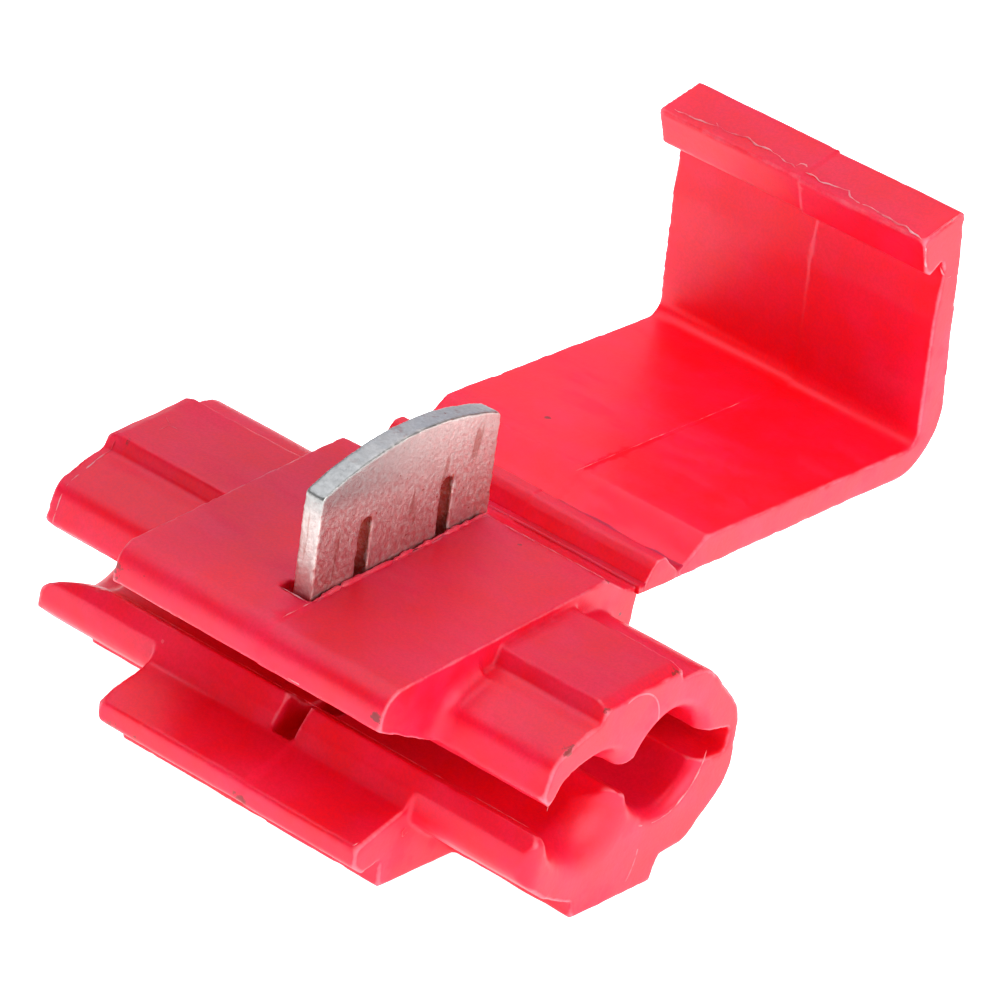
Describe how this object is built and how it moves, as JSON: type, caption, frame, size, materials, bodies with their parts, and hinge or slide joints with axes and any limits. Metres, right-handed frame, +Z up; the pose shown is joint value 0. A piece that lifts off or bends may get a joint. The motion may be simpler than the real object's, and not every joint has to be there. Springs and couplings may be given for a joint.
{
  "type": "insulation displacement wire tap connector",
  "caption": "Clip-on wire tap with a two-channel barrel, a sliding contact blade and a fold-over latching cover on a living hinge.",
  "frame": {"origin": "on the plane of the foot, halfway along the barrel, under the ridge between the two wire channels", "axes": "+X along the wires, -Y the open mouth, +Y the hinge side where the open cover lies, +Z up from the foot"},
  "size_m": [0.02, 0.027, 0.0168],
  "materials": {
    "housing_plastic": "fine matte, slightly translucent polypropylene",
    "link_plastic": "fine matte, slightly translucent polypropylene",
    "cover_plastic": "fine matte, slightly translucent polypropylene",
    "tinned_metal": "dull tin plate with drawn scratches"
  },
  "bodies": {
    "housing": {"housing": "housing_plastic"},
    "hinge_link": {"hinge_link": "link_plastic"},
    "cover": {"cover": "cover_plastic"},
    "contact_blade": {"contact_blade": "tinned_metal"}
  },
  "joints": [
    {"name": "link_hinge", "type": "hinge", "parent": "housing", "child": "hinge_link", "pos_m": [0.00064, 0.00419, 0.00751], "axis": [1, 0, 0], "range_deg": [0, 85]},
    {"name": "cover_hinge", "type": "hinge", "parent": "hinge_link", "child": "cover", "pos_m": [0.00064, 0.0059, 0.00758], "axis": [1, 0, 0], "range_deg": [0, 85]},
    {"name": "contact_slide", "type": "slide", "parent": "housing", "child": "contact_blade", "axis": [0, 0.0809, -0.9967], "range_m": [0, 0.0042]}
  ],
  "couplings": [
    {"joint": "cover_hinge", "follows": "contact_slide", "rad_per_m": 353.2},
    {"joint": "link_hinge", "follows": "contact_slide", "rad_per_m": 353.2}
  ]
}
